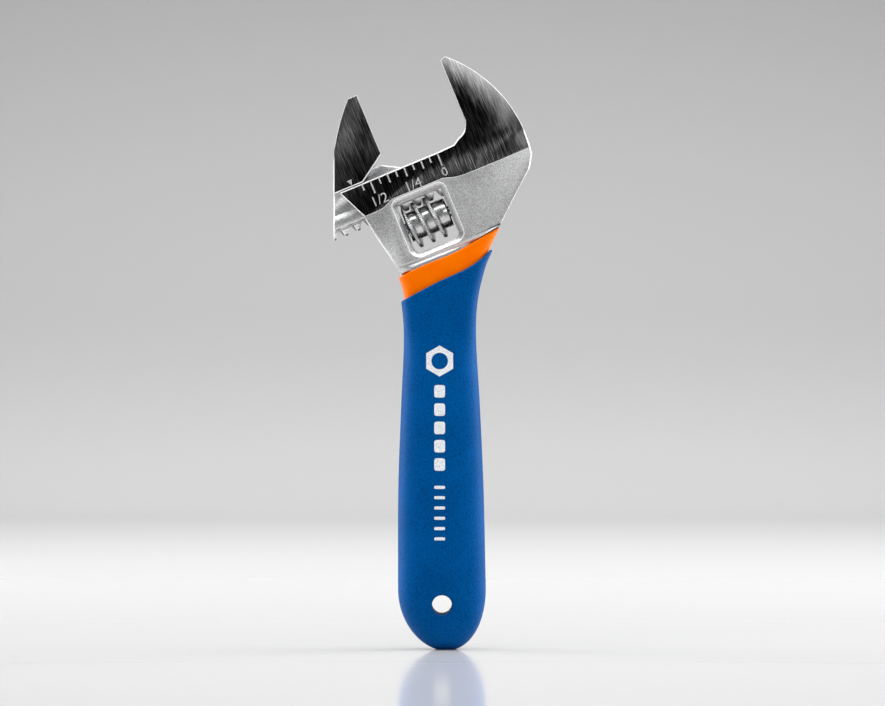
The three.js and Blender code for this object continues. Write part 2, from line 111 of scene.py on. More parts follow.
class Graph:
    """A node tree that is written in Python expressions."""

    def __init__(self, tree):
        self.tree = tree

    def node(self, kind, settings=None, inputs=None, output=0):
        made = self.tree.nodes.new(kind)
        for name, value in (settings or {}).items():
            setattr(made, name, value)
        for key, value in (inputs or {}).items():
            if isinstance(value, Link):
                self.tree.links.new(value.socket, made.inputs[key])
            else:
                made.inputs[key].default_value = value
        return Link(self, made.outputs[output])

    def maths(self, operation, *values):
        return self.node("ShaderNodeMath", {"operation": operation}, dict(enumerate(values)))

    def ramp(self, value, low, high, to_low=0.0, to_high=1.0):
        """A smooth step from to_low to to_high as value goes from low to high."""
        settings = {"interpolation_type": "SMOOTHSTEP"}
        inputs = {0: value, 1: low, 2: high, 3: to_low, 4: to_high}
        return self.node("ShaderNodeMapRange", settings, inputs)


# %% [markdown]
# ## Finishes
# A finish starts from the Principled shader and reads the piece's own coordinates, so that the
# pattern stays on the piece when the jaw slides or the worm turns. Grain sizes are real: a
# scale of 1 / size puts one cell of noise on each stretch of that size.

# %% The finish helper
def linear(red, green, blue):
    """A colour written as 0 to 255 on a screen, as the shader wants it."""
    return tuple(
        (c / 12.92 if c <= 0.04045 else ((c + 0.055) / 1.055) ** 2.4)
        for c in (red / 255, green / 255, blue / 255)
    ) + (1.0,)


class Finish(Graph):
    """One material: a Principled shader with its constants, and the values that vary over it."""

    def __init__(self, name, **constants):
        self.material = bpy.data.materials.new(name)
        self.material.use_nodes = True
        super().__init__(self.material.node_tree)
        self.shader = self.tree.nodes["Principled BSDF"]
        for socket, value in constants.items():
            self.shader.inputs[socket.replace("_", " ")].default_value = value
        self.place = self.node("ShaderNodeTexCoord", output="Object")

    def head_place(self, along=1.0, across=1.0, up=1.0):
        """Coordinates turned into the head's frame and stretched."""
        turned = self.node("ShaderNodeMapping", inputs={"Vector": self.place, "Rotation": (0, lean, 0)})
        return self.node("ShaderNodeMapping", inputs={"Vector": turned, "Scale": (along, across, up)})

    def noise(self, size, detail=2.0, place=None, rough=0.5):
        inputs = {"Vector": place or self.place, "Scale": 1 / size, "Detail": detail, "Roughness": rough}
        return self.node("ShaderNodeTexNoise", inputs=inputs)

    def blend(self, mask, low, high):
        settings = {"data_type": "RGBA"}
        return self.node("ShaderNodeMix", settings, {0: mask, 6: low, 7: high}, output=2)

    def vary(self, **values):
        for socket, value in values.items():
            self.tree.links.new(value.socket, self.shader.inputs[socket.replace("_", " ")])

    def bump(self, height, depth, strength=1.0):
        inputs = {"Height": height, "Distance": depth, "Strength": strength}
        self.vary(Normal=self.node("ShaderNodeBump", inputs=inputs))


# %% [markdown]
# ### Metal finishes
# The head is bead-blasted and then chrome plated, which leaves a fine, even grain. The jaws and
# the band with the scale are ground flat afterwards on a belt that ran up the jaw faces, so they
# mirror what is in front of them and carry long thin scratches. Their colour is painted nearly
# black, a painted reflection of the dark in front of them, and a painted highlight brightens them
# towards each jaw's round back and tip, most of all on the fixed jaw. The corners between ground
# faces, like every bevelled corner, are painted near white with little metal: a painted glint that
# draws them as narrow bright lines.

# %% Blasted, ground and polished steel
def blasted_chrome():
    finish = Finish("blasted_chrome", Metallic=1.0)
    grain = finish.noise(0.15 * MM, 3.0, rough=0.7)
    cloud = finish.noise(6 * MM, 2.0)
    speck = finish.ramp(grain, 0.36, 0.64)
    tone = speck * 0.8 + cloud * 0.2
    finish.vary(
        Base_Color=finish.blend(tone, linear(166, 167, 168), linear(236, 236, 237)),
        Roughness=finish.ramp(grain, 0.3, 0.7, 0.34, 0.48),
    )
    finish.bump(grain, 0.03 * MM, 0.7)
    return finish.material


def ground_steel(name, centre, back_r, highlight_strength):
    """Belt-ground steel painted nearly black, a painted reflection of the dark in front of it, with a painted
    highlight towards the jaw's round back, most of all at its tip.
    """
    finish = Finish(name, Metallic=1.0)
    scratches = finish.noise(0.11 * MM, 3.0, finish.head_place(1.0, 1.0, 0.04), 0.6)
    broad = finish.noise(1.2 * MM, 2.0, finish.head_place(1.0, 1.0, 0.12))
    line = finish.ramp(scratches, 0.45, 0.7)
    apart = finish.node("ShaderNodeSeparateXYZ", inputs={0: finish.head_place()})
    over = apart.out("X") - (centre[0] + HEAD_Z * math.sin(lean)) * MM
    b = apart.out("Z") - HEAD_Z * math.cos(lean) * MM
    up = b - centre[1] * MM
    to_back = finish.maths("SQRT", over * over + up * up)
    # Painted highlight: the colour brightens towards the jaw's round back and up towards its tip.
    painted_highlight = finish.ramp(to_back + (broad + line * 0.7) * 1.8 * MM, (back_r - 4) * MM, (back_r + 1.6) * MM)
    painted_highlight = painted_highlight * finish.ramp(b, 13 * MM, 28 * MM, 0.1, 1.0) * highlight_strength
    # Painted reflection: away from the highlight the base colour is nearly black, for the dark that the
    # ground face mirrors.
    tone = line * 0.06 + painted_highlight * (line * 0.35 + 0.65)
    finish.vary(
        Base_Color=finish.blend(tone, linear(20, 20, 20), linear(246, 246, 247)),
        Roughness=finish.ramp(scratches, 0.3, 0.7, 0.22, 0.34) + painted_highlight * 0.2,
    )
    finish.bump(scratches, 0.012 * MM, 0.6)
    return finish.material


def polished_edge():
    # Painted glint: a near-white colour with little metal stands in for the light that glints along the
    # bevelled edges.
    finish = Finish("polished_edge", Metallic=0.2)
    mottle = finish.noise(0.5 * MM, 3.0)
    finish.vary(
        Base_Color=finish.blend(mottle, linear(236, 236, 237), linear(255, 255, 255)),
        Roughness=finish.ramp(mottle, 0.3, 0.7, 0.32, 0.46),
    )
    return finish.material


def jaw_face_steel():
    finish = Finish("jaw_face_steel", Metallic=1.0)
    lines = finish.noise(0.08 * MM, 2.0, finish.head_place(0.05, 0.05, 1.0), 0.6)
    finish.vary(
        Base_Color=finish.blend(lines, linear(150, 151, 153), linear(205, 206, 208)),
        Roughness=finish.ramp(lines, 0.3, 0.7, 0.3, 0.42),
    )
    finish.bump(lines, 0.004 * MM, 0.5)
    return finish.material


def bright_plate():
    finish = Finish("bright_plate", Metallic=1.0)
    haze = finish.noise(0.7 * MM, 3.0)
    finish.vary(
        Base_Color=finish.blend(haze, linear(158, 159, 160), linear(208, 208, 209)),
        Roughness=finish.ramp(haze, 0.3, 0.7, 0.22, 0.34),
    )
    finish.bump(haze, 0.01 * MM, 0.2)
    return finish.material


def oily_recess():
    # Painted shade: the rack's gaps and the walls of the worm's window are coloured dark grey for the shade
    # that falls in them.
    finish = Finish("oily_recess", Metallic=0.85)
    shade_mottle = finish.noise(0.8 * MM, 4.0, rough=0.65)
    finish.vary(
        Base_Color=finish.blend(finish.ramp(shade_mottle, 0.35, 0.7), linear(44, 43, 42), linear(120, 119, 117)),
        Roughness=finish.ramp(shade_mottle, 0.3, 0.7, 0.3, 0.5),
    )
    finish.bump(shade_mottle, 0.02 * MM, 0.4)
    return finish.material


BLASTED, EDGE = blasted_chrome(), polished_edge()
HEAD_GROUND = ground_steel("head_ground_steel", (-3.01, 11.74), 23.64, 1.0)
JAW_GROUND = ground_steel("jaw_ground_steel", (20.84, 3.09), 37.2, 0.25)
JAW_FACE, BRIGHT, RECESS = jaw_face_steel(), bright_plate(), oily_recess()

# %% [markdown]
# ### Vinyl and print
# Dipped vinyl takes the look of what it was dipped over: the orange layer is smooth with a soft
# gloss. The blue layer has a fine pebbled skin that breaks up its sheen into tiny specks. The
# print on it and the etched scale are thin and slightly worn.

# %% Vinyl, etching and ink
def pebbled_vinyl():
    finish = Finish("pebbled_vinyl", Specular_IOR_Level=0.2, Specular_Tint=linear(0, 120, 205))
    pebble = finish.node("ShaderNodeTexVoronoi", {"feature": "SMOOTH_F1"},
                         {"Vector": finish.place, "Scale": 1 / (0.3 * MM), "Smoothness": 0.6})
    fine = finish.noise(0.18 * MM, 3.0, rough=0.6)
    cloud = finish.noise(9 * MM, 2.0)
    height = 1 - pebble + fine * 0.5
    tone = finish.ramp(height * 0.5 + cloud * 0.5, 0.35, 0.95)
    finish.vary(
        Base_Color=finish.blend(tone, linear(0, 66, 124), linear(0, 86, 156)),
        Roughness=finish.ramp(fine, 0.3, 0.7, 0.4, 0.6),
    )
    finish.bump(height, 0.045 * MM, 0.6)
    return finish.material


def smooth_vinyl():
    finish = Finish("smooth_vinyl", Specular_IOR_Level=0.35, Specular_Tint=linear(255, 150, 30))
    cloud = finish.noise(4 * MM, 2.0)
    fine = finish.noise(0.3 * MM, 3.0)
    finish.vary(
        Base_Color=finish.blend(cloud, linear(252, 104, 0), linear(255, 122, 0)),
        Roughness=finish.ramp(fine, 0.3, 0.7, 0.4, 0.52),
    )
    finish.bump(fine, 0.01 * MM, 0.3)
    return finish.material


def worn_mark(name, low, high, roughness):
    finish = Finish(name)
    mottle = finish.noise(0.25 * MM, 4.0, rough=0.7)
    finish.vary(
        Base_Color=finish.blend(finish.ramp(mottle, 0.35, 0.6), low, high),
        Roughness=finish.ramp(mottle, 0.3, 0.7, roughness - 0.06, roughness + 0.06),
    )
    finish.bump(mottle, 0.005 * MM, 0.4)
    return finish.material


BLUE, ORANGE = pebbled_vinyl(), smooth_vinyl()
ETCHED = worn_mark("etched_mark", linear(150, 150, 150), linear(206, 206, 206), 0.5)
INK = worn_mark("white_ink", linear(205, 212, 220), linear(244, 246, 248), 0.55)
print("finishes made:", len(bpy.data.materials))

# %% [markdown]
# ## The forging and the moving jaw
# Both are cut from solid stock, so their shapes are already right in the frame. What a real part
# has and a plain solid lacks is the broken edge. Each copy is merged, its flat faces are made
# whole again, each face gets the finish of the tool that made it, or painted shade in the rack
# and the worm's window, and then a narrow bevel with a painted glint runs along every outer
# corner. One mesh modifier cuts it, and a weight on each edge makes it finer on low walls, teeth
# and the window's rim. Inner corners stay sharp, so that no clearance is filled.

# %% Copies with broken edges
GROUND_Y, HEAD_Y = 3.6, 3.8
SHANK_TOP_B = -1.9
SLIDE_B = 14.4
WINDOW_A, WINDOW_B, WINDOW_RIM = (-5.3, 3.5), (-0.9, 8.9), 0.9
ON_BLASTED, ON_GROUND, ON_EDGE, ON_JAW_FACE, ON_RECESS = range(5)
CORNER = math.radians(24)


def new_object(name, mesh, materials=()):
    piece = bpy.data.objects.new(name, mesh)
    bpy.context.scene.collection.objects.link(piece)
    for material in materials:
        mesh.materials.append(material)
    return piece


def settled(piece):
    """The piece with its modifiers worked into its mesh."""
    graph = bpy.context.evaluated_depsgraph_get()
    mesh = bpy.data.meshes.new_from_object(piece.evaluated_get(graph), depsgraph=graph)
    piece.modifiers.clear()
    piece.data = mesh
    mesh.name = piece.name
    return piece


def near_window(place, margin):
    """Whether this place on the head is in the worm's window, or this far outside it."""
    in_a = WINDOW_A[0] - margin < place.x < WINDOW_A[1] + margin
    return in_a and WINDOW_B[0] - margin < place.z < WINDOW_B[1] + margin


def face_finish(centre, normal):
    """Which tool made this face, or painted shade for a recess, from its place and direction in the head's
    frame.
    """
    flat = abs(normal.y) > 0.9
    if flat and abs(abs(centre.y) - GROUND_Y) < 0.05 and centre.z > 5:
        return ON_GROUND
    if abs(normal.z) > 0.8 and GROUND_Y < abs(centre.y) < HEAD_Y and 8 < centre.z < 11:
        return ON_GROUND
    # The rack's gaps and the walls of the worm's window get painted shade.
    on_rack = 5 < centre.z < 8.2 and centre.x < 3.9 and abs(normal.y) < 0.5 and abs(centre.y) < 2.3
    if on_rack or (near_window(centre, 0.0) and abs(normal.y) < 0.5):
        return ON_RECESS
    on_slide = abs(centre.z - SLIDE_B) < 0.4 and abs(normal.z) > 0.9
    on_jaw = centre.z > SLIDE_B and not flat
    if on_slide or on_jaw:
        return ON_JAW_FACE
    return ON_BLASTED


def bevel_share(face):
    """How much of the full bevel an edge of this face takes: little on a low wall or a tooth."""
    low_wall = all(abs(vert.co.y) > (GROUND_Y - 0.02) * MM for vert in face.verts)
    if low_wall and abs(face.normal.y) < 0.5:
        return 0.25
    middle = TO_HEAD @ face.calc_center_median()
    if middle.z < SHANK_TOP_B:
        return 0.1
    on_rim = near_window(middle, WINDOW_RIM) and abs(face.normal.y) < 0.9
    return 0.4 if on_rim or face.material_index == ON_RECESS else 1.0


def broken_edges(name, node, width, ground):
    """A copy of a solid whose outer corners are bevelled, with a finish on each face."""
    work = bmesh.new()
    work.from_mesh(frame["nodes"][node].data)
    bmesh.ops.remove_doubles(work, verts=work.verts, dist=0.002 * MM)
    bmesh.ops.dissolve_limit(work, angle_limit=math.radians(0.5), verts=work.verts, edges=work.edges)
    turn = TO_HEAD.to_3x3().normalized()
    for face in work.faces:
        face.material_index = face_finish(TO_HEAD @ face.calc_center_median(), turn @ face.normal)
        face.smooth = True
    share = work.edges.layers.float.new("bevel_weight_edge")
    for edge in work.edges:
        if edge.is_convex and edge.calc_face_angle() > CORNER:
            edge[share] = min(bevel_share(face) for face in edge.link_faces)
    mesh = bpy.data.meshes.new(name)
    work.to_mesh(mesh)
    work.free()
    piece = new_object(name, mesh, [BLASTED, ground, EDGE, JAW_FACE, RECESS])
    bevel = piece.modifiers.new("broken edges", "BEVEL")
    bevel.width, bevel.segments, bevel.material = width, 2, ON_EDGE
    bevel.limit_method = "WEIGHT"
    bevel.use_clamp_overlap, bevel.harden_normals = False, True
    settled(piece)
    print(name, "has", len(piece.data.polygons), "faces")
    return piece


head = broken_edges("forged_head", "wrench_body", 0.24 * MM, HEAD_GROUND)
jaw = broken_edges("sliding_jaw", "movable_jaw", 0.2 * MM, JAW_GROUND)

# %% [markdown]
# ## Turned pieces
# The worm, its axle and the blank of the thread come off a lathe. A profile of (radius, place)
# pairs is spun round the `a` axis. Long straight stretches are cut into short steps first where
# a thread will be cut into them.

# %% A lathe
def stepped(profile, step):
    """The profile with every stretch cut into steps no longer than this."""
    points = []
    for start, end in zip(profile, profile[1:]):
        count = max(1, math.ceil(math.dist(start, end) / step))
        points += [tuple(s + (e - s) * i / count for s, e in zip(start, end)) for i in range(count)]
    return points + [profile[-1]]


def turned(name, profile, around, material, ring=False):
    """A closed solid of revolution; a ring's profile ends where it starts."""
    work = bmesh.new()
    rows = []
    for radius, along in (profile[:-1] if ring else profile):
        angles = [2 * math.pi * i / around for i in range(around)] if radius > 0 else [0.0]
        rows.append([work.verts.new((along, radius * math.cos(t), radius * math.sin(t))) for t in angles])
    pairs = list(zip(rows, rows[1:])) + ([(rows[-1], rows[0])] if ring else [])
    for low, high in pairs:
        for i in range(around):
            j = (i + 1) % around
            corners = [low[i % len(low)], low[j % len(low)], high[j % len(high)], high[i % len(high)]]
            work.faces.new(list(dict.fromkeys(corners)))
    bmesh.ops.recalc_face_normals(work, faces=work.faces)
    for face in work.faces:
        face.smooth = True
    mesh = bpy.data.meshes.new(name)
    work.to_mesh(mesh)
    work.free()
    return new_object(name, mesh, [material])


def put_on_head(piece, b):
    """Moves a piece made round the a axis to its place on the head."""
    piece.data.transform(HEAD @ Matrix.Translation((0, 0, b)))
    piece.data.update()
    return piece


# %% [markdown]
# ## The worm
# The thread is cut into the turned blank: every point of the blank's outside is pulled in to the
# thread's own radius at that angle and place. That radius is a rule, so Geometry Nodes hold it:
# the distance to the nearest ridge gives the flank, and a wave round the crest cuts the knurl
# that a thumb grips. The same sizes drive the rack's teeth in the frame, so the two stay in mesh.

# %% Thread and knurl
WORM_R, WORM_ROOT_R = 4.0, 2.6
PITCH, MESH_A = 2.3, -0.2
WORM_LEFT, WORM_RIGHT, PLAIN_HUB = -4.8, 3.0, 1.3
BORE_R, POCKET_R, POCKET_END = 1.15, 1.95, -1.8
KNURL_TEETH = 62


def geometry_tree(name, sizes):
    """An empty Geometry Nodes tree with named number inputs. Gives its graph and the sockets."""
    tree = bpy.data.node_groups.new(name, "GeometryNodeTree")
    face = tree.interface
    face.new_socket("Geometry", in_out="INPUT", socket_type="NodeSocketGeometry")
    face.new_socket("Geometry", in_out="OUTPUT", socket_type="NodeSocketGeometry")
    for size in sizes:
        face.new_socket(size, in_out="INPUT", socket_type="NodeSocketFloat")
    graph = Graph(tree)
    start = graph.node("NodeGroupInput")
    return graph, start


def finish_tree(graph, geometry, material):
    real = graph.node("GeometryNodeRealizeInstances", inputs={"Geometry": geometry})
    coated = graph.node("GeometryNodeSetMaterial", inputs={"Geometry": real, "Material": material})
    end = graph.tree.nodes.new("NodeGroupOutput")
    graph.tree.links.new(coated.socket, end.inputs["Geometry"])


def run_tree(piece, graph, sizes):
    """Runs a tree on a piece with these sizes, and leaves the result as a plain mesh."""
    modifier = piece.modifiers.new(graph.tree.name, "NODES")
    modifier.node_group = graph.tree
    for item in graph.tree.interface.items_tree:
        if item.in_out == "INPUT" and item.name in sizes:
            modifier[item.identifier] = sizes[item.name]
    return settled(piece)


def thread_tree(material):
    names = ["Radius", "Root", "Pitch", "Crest", "Slope", "Ridge", "Left", "Right", "Teeth", "Knurl"]
    graph, start = geometry_tree("cut thread", names)
    size = {name: start.out(name) for name in names}
    here = graph.node("GeometryNodeInputPosition")
    apart = graph.node("ShaderNodeSeparateXYZ", inputs={0: here})
    a, y, z = apart.out("X"), apart.out("Y"), apart.out("Z")
    turn = graph.maths("ARCTAN2", z, y) / (2 * math.pi)
    ridge = a - size["Ridge"] - size["Pitch"] * (turn - 0.25)
    half = size["Pitch"] * 0.5
    off = graph.maths("ABSOLUTE", graph.maths("WRAP", ridge, half, half * -1))
    flank = size["Radius"] - (off - size["Crest"] * 0.5) / size["Slope"]
    shape = graph.maths("SMOOTH_MIN", flank, size["Radius"], 0.12)
    shape = graph.maths("SMOOTH_MAX", shape, size["Root"], 0.05)
    runout = graph.ramp(a, size["Right"] - 0.25, size["Right"], 1.0, 0.0)
    runin = graph.ramp(a, size["Left"], size["Left"] + 0.3, 0.35, 1.0)
    shape = size["Root"] + (shape - size["Root"]) * runout * runin
    wave = graph.maths("COSINE", turn * 2 * math.pi * size["Teeth"])
    notch = graph.ramp(wave, -0.2, 0.7) * graph.ramp(shape, size["Radius"] - 0.35, size["Radius"] - 0.1)
    shape = shape - notch * size["Knurl"]
    away = graph.maths("SQRT", y * y + z * z)
    outside = graph.maths("GREATER_THAN", away, size["Radius"] - 0.01)
    pull = shape / away
    moved = graph.node("ShaderNodeCombineXYZ", inputs={0: a, 1: y * pull, 2: z * pull})
    cut = graph.node("GeometryNodeSetPosition",
                     inputs={"Geometry": start.out("Geometry"), "Selection": outside, "Position": moved})
    finish_tree(graph, cut, material)
    return graph


def make_worm():
    shoulder = WORM_RIGHT - PLAIN_HUB
    chamfer = 0.3
    thread_start = WORM_LEFT + 0.02
    outside = stepped([(WORM_R, thread_start), (WORM_R, shoulder)], 0.055)
    profile = [(POCKET_R, WORM_LEFT), (WORM_ROOT_R - chamfer, WORM_LEFT),
               (WORM_ROOT_R - 0.05, thread_start)]
    profile += outside
    profile += [(WORM_ROOT_R, shoulder + 0.05), (WORM_ROOT_R, WORM_RIGHT - chamfer),
                (WORM_ROOT_R - 0.08, WORM_RIGHT - 0.1), (WORM_ROOT_R - chamfer, WORM_RIGHT),
                (BORE_R, WORM_RIGHT), (BORE_R, POCKET_END), (POCKET_R, POCKET_END), (POCKET_R, WORM_LEFT)]
    blank = turned("knurled_worm", profile, KNURL_TEETH * 6, BRIGHT, ring=True)
    sizes = {"Radius": WORM_R - 0.02, "Root": WORM_ROOT_R, "Pitch": PITCH, "Crest": 0.5, "Slope": 0.22,
             "Ridge": MESH_A, "Left": WORM_LEFT, "Right": shoulder, "Teeth": float(KNURL_TEETH), "Knurl": 0.1}
    return put_on_head(run_tree(blank, thread_tree(BRIGHT), sizes), WORM_B)


worm = make_worm()
print("worm faces:", len(worm.data.polygons))

# %% [markdown]
# ## The axle and its spring
# The worm turns on a slotted screw, put in from the left edge of the head. A small coil spring in
# the worm's pocket takes up its end play. The axle is turned and then slotted with a boolean cut.
# The spring is a spiral curve with a round wire, so Geometry Nodes make it from its turns, its
# length and its wire.

# %% Slotted axle and coil spring
PIN_LEFT, PIN_RIGHT, PIN_HEAD_END = -10.05, 6.05, -8.55
PIN_R, PIN_HEAD_R, SLOT = 1.0, 1.35, 0.45


def make_axle():
    profile = [(0, PIN_LEFT), (PIN_HEAD_R - 0.25, PIN_LEFT), (PIN_HEAD_R - 0.07, PIN_LEFT + 0.07),
               (PIN_HEAD_R, PIN_LEFT + 0.25), (PIN_HEAD_R, PIN_HEAD_END), (PIN_R, PIN_HEAD_END),
               (PIN_R, PIN_RIGHT - 0.3), (PIN_R - 0.3, PIN_RIGHT), (0, PIN_RIGHT)]
    axle = turned("slotted_axle", profile, 64, BRIGHT)
    mesh = bpy.data.meshes.new("slot cutter")
    work = bmesh.new()
    bmesh.ops.create_cube(work, size=1, matrix=Matrix.Translation((PIN_LEFT, 0, 0)) @ Matrix.Diagonal(
        (2 * SLOT, SLOT, 4 * PIN_HEAD_R, 1)))
    work.to_mesh(mesh)
    work.free()
    cutter = new_object("slot cutter", mesh)
    cut = axle.modifiers.new("slot", "BOOLEAN")
    cut.operation, cut.solver, cut.object = "DIFFERENCE", "EXACT", cutter
    settled(axle)
    bpy.data.objects.remove(cutter)
    axle.data.set_sharp_from_angle(angle=math.radians(40))
    return put_on_head(axle, WORM_B)


def spring_tree(material):
    names = ["Turns", "Radius", "Length", "Wire"]
    graph, start = geometry_tree("wind spring", names)
    size = {name: start.out(name) for name in names}
    coil = graph.node("GeometryNodeCurveSpiral", inputs={
        "Resolution": 40, "Rotations": size["Turns"], "Start Radius": size["Radius"],
        "End Radius": size["Radius"], "Height": size["Length"]})
    wire = graph.node("GeometryNodeCurvePrimitiveCircle", inputs={
        "Resolution": 14, "Radius": size["Wire"]})
    tube = graph.node("GeometryNodeCurveToMesh", inputs={
        "Curve": coil, "Profile Curve": wire, "Fill Caps": True})
    smooth = graph.node("GeometryNodeSetShadeSmooth", inputs={"Geometry": tube})
    finish_tree(graph, smooth, material)
    return graph


def make_spring():
    wire, left = 0.16, WORM_LEFT - 0.25 + 2 * 0.16
    length = POCKET_END - left - 2 * wire
    piece = new_object("worm_coil_spring", bpy.data.meshes.new("worm_coil_spring"))
    sizes = {"Turns": 4.0, "Radius": (PIN_R + POCKET_R) / 2, "Length": length, "Wire": wire}
    run_tree(piece, spring_tree(BRIGHT), sizes)
    piece.data.transform(Matrix.Translation((left, 0, 0)) @ Matrix.Rotation(math.radians(90), 4, "Y"))
    return put_on_head(piece, WORM_B)


axle, spring = make_axle(), make_spring()
print("spring faces:", len(spring.data.polygons))

# %% [markdown]
# ## The dipped grip
# A dip follows the handle: rounded sections, wide in the palm, narrow at the waist, flared up to
# the head, and a rounded end. Each layer is one closed skin: the outside, a rounded lip along its
# slanted upper edge, the inside, and a liner where the layers run through the hang hole. The
# rows of the mesh bend to meet the slanted edge, and a patch of rings leads from the grid to the
# round hole, so that nothing is cut and the shading stays smooth.

# %% The grip's skin
END_LENGTH, END_CROP, END_SKEW = 10.6, 0.25, 0.75
WAIST_Z = HEAD_Z - 17
PALM_Z = END_LENGTH + (WAIST_Z - END_LENGTH) * 0.4
MIDDLE_Z = END_LENGTH + (WAIST_Z - END_LENGTH) * 0.75
PALM_W, PALM_T = 7.73, 4.7
OUTER_DIP, INNER_DIP, PALM_DIP, LAYER_GAP = 0.6, 0.5, 0.9, 0.12
HOLE_Z, HOLE_R, LINER = 7.96, 1.75, 0.5
INNER_SKIN = OUTER_DIP + LAYER_GAP
COLLAR_T = 3.8 + INNER_SKIN + INNER_DIP + LAYER_GAP - 0.1
SKIN_LEFT = [(END_LENGTH, PALM_W), (PALM_Z, PALM_W - 0.05), (MIDDLE_Z, PALM_W - 0.6),
             (WAIST_Z, PALM_W - 1.02), (HEAD_Z - 10.8, 7.2), (HEAD_Z - 6.7, 8.35), (HEAD_Z - 2.8, 10.6),
             (HEAD_Z + 4, 14.8)]
SKIN_RIGHT = [(END_LENGTH, PALM_W), (PALM_Z, PALM_W - 0.4), (MIDDLE_Z, PALM_W - 1.1),
              (WAIST_Z, PALM_W - 1.72), (HEAD_Z - 10.8, 6.3), (HEAD_Z - 5, 7.6), (HEAD_Z - 2.1, 8.8),
              (HEAD_Z + 2.1, 10.85), (HEAD_Z + 4, 11.8)]
SKIN_THICK = [(END_LENGTH, PALM_T), (PALM_Z, PALM_T), (WAIST_Z, PALM_T - 0.15), (HEAD_Z - 12, COLLAR_T),
              (HEAD_Z + 4, COLLAR_T)]
INNER_TOP = [(-14, -3.4), (-9.8, -3.2), (-5, -2.95), (0.5, -3.05), (5.05, -2.65), (10.05, -1.9), (14, -1)]
OUTER_TOP = [(-14, -7.5), (-10.8, -7.2), (-3.25, -6.6), (1.75, -6.5), (5.25, -5.95), (7.05, -5.3), (14, -2)]


def smooth_step(x, low, high):
    t = min(1, max(0, (x - low) / (high - low)))
    return t * t * (3 - 2 * t)


def curve_at(knots, place):
    """The value of the smooth curve through (place, value) knots."""
    i = max(k for k in range(len(knots) - 1) if k == 0 or place > knots[k][0])

    def slope(k):
        before, after = knots[max(k - 1, 0)], knots[min(k + 1, len(knots) - 1)]
        return (after[1] - before[1]) / (after[0] - before[0])

    (x0, y0), (x1, y1) = knots[i], knots[i + 1]
    span = x1 - x0
    t = (place - x0) / span
    return (y0 * (2 * t**3 - 3 * t**2 + 1) + y1 * (3 * t**2 - 2 * t**3)
            + span * (slope(i) * (t**3 - 2 * t**2 + t) + slope(i + 1) * (t**3 - t**2)))


class Skin:
    """The surface at a depth below the grip's outside, deeper by palm in the palm."""

    def __init__(self, depth, palm=0.0):
        self.depth, self.palm, self.bottom = depth, palm, depth + palm

    def section(self, z, more=0.0):
        """Middle, half width, half thickness and power of the section at this height."""
        in_end = min(1, (z - self.bottom + END_CROP) / (END_LENGTH - self.bottom + END_CROP))
        taper = math.sqrt(max(0, 1 - (1 - in_end) ** 2))
        above = max(z, END_LENGTH)
        inset = self.depth + more + self.palm * (1 - smooth_step(z, HEAD_Z - 26, HEAD_Z - 13))
        left = (curve_at(SKIN_LEFT, above) - inset) * taper
        right = (curve_at(SKIN_RIGHT, above) - inset) * taper
        thick = (curve_at(SKIN_THICK, above) - inset) * taper
        power = 2.5 + 2 * smooth_step(z, HEAD_Z - 22, HEAD_Z - 10)
        return (right - left) / 2 + END_SKEW * (1 - in_end) ** 2, (left + right) / 2, thick, power

    def point(self, angle, z, more=0.0):
        middle, wide, thick, power = self.section(z, more)
        c, s = math.cos(angle), math.sin(angle)
        return Vector((middle + wide * math.copysign(abs(c) ** (2 / power), c),
                       thick * math.copysign(abs(s) ** (2 / power), s), z))

    def half_depth(self, x, z):
        """How far the surface stands from y = 0 here."""
        middle, wide, thick, power = self.section(z)
        return thick * max(0, 1 - abs((x - middle) / wide) ** power) ** (1 / power)

    def height_at_edge(self, angle, edge):
        """Where the section's point at this angle meets the slanted upper edge."""
        low, high = HEAD_Z - 22, HEAD_Z + 4
        for _ in range(30):
            z = (low + high) / 2
            on_head = TO_HEAD @ (self.point(angle, z) * MM)
            low, high = (z, high) if on_head.z < curve_at(edge, on_head.x) else (low, z)
        return low


print("grip width at the palm:", 2 * PALM_W, "mm")

# %% [markdown]
# The grid of one skin starts at the flat on the grip's end, goes up the rounded end by equal
# angles, and then up to the edge. `hole_patch` replaces a block of that grid on the front and on
# the back by rings that turn from the block's outline into the hole's circle.

# %% Grids, holes and lips
COLUMNS, END_ROWS, BODY_ROWS = 120, 24, 110


def skin_rows(work, skin, edge, lip, body_rows):
    tops = [skin.height_at_edge(2 * math.pi * j / COLUMNS, edge) - lip for j in range(COLUMNS)]
    rows = []
    for i in range(END_ROWS + body_rows + 1):
        row = []
        for j in range(COLUMNS):
            if i < END_ROWS:
                climb = 1 - math.cos(i / END_ROWS * math.pi / 2)
                z = skin.bottom + (END_LENGTH - skin.bottom) * climb
            else:
                z = END_LENGTH + (tops[j] - END_LENGTH) * (i - END_ROWS) / body_rows
            row.append(work.verts.new(skin.point(2 * math.pi * j / COLUMNS, z)))
        rows.append(row)
    return rows, tops


def join_rows(work, low, high, skip=()):
    for j in range(len(low)):
        if j not in skip:
            k = (j + 1) % len(low)
            work.faces.new((low[j], low[k], high[k], high[j]))


def close_end(work, row, skin):
    """Rings that shrink to the middle of the flat end."""
    middle = skin.section(skin.bottom)[0]
    last = row
    for share in (0.85, 0.5):
        ring = [work.verts.new((middle + (v.co.x - middle) * share, v.co.y * share, v.co.z)) for v in row]
        join_rows(work, ring, last)
        last = ring
    pole = work.verts.new((middle, 0, skin.bottom))
    for j in range(COLUMNS):
        work.faces.new((pole, last[j], last[(j + 1) % COLUMNS]))


def block_outline(rows, low, high, first, last):
    """The vertices round a block of the grid, in order."""
    bottom = [rows[low][j] for j in range(first, last)]
    right = [rows[i][last] for i in range(low, high)]
    top = [rows[high][j] for j in range(last, first, -1)]
    left = [rows[i][first] for i in range(high, low, -1)]
    return bottom + right + top + left


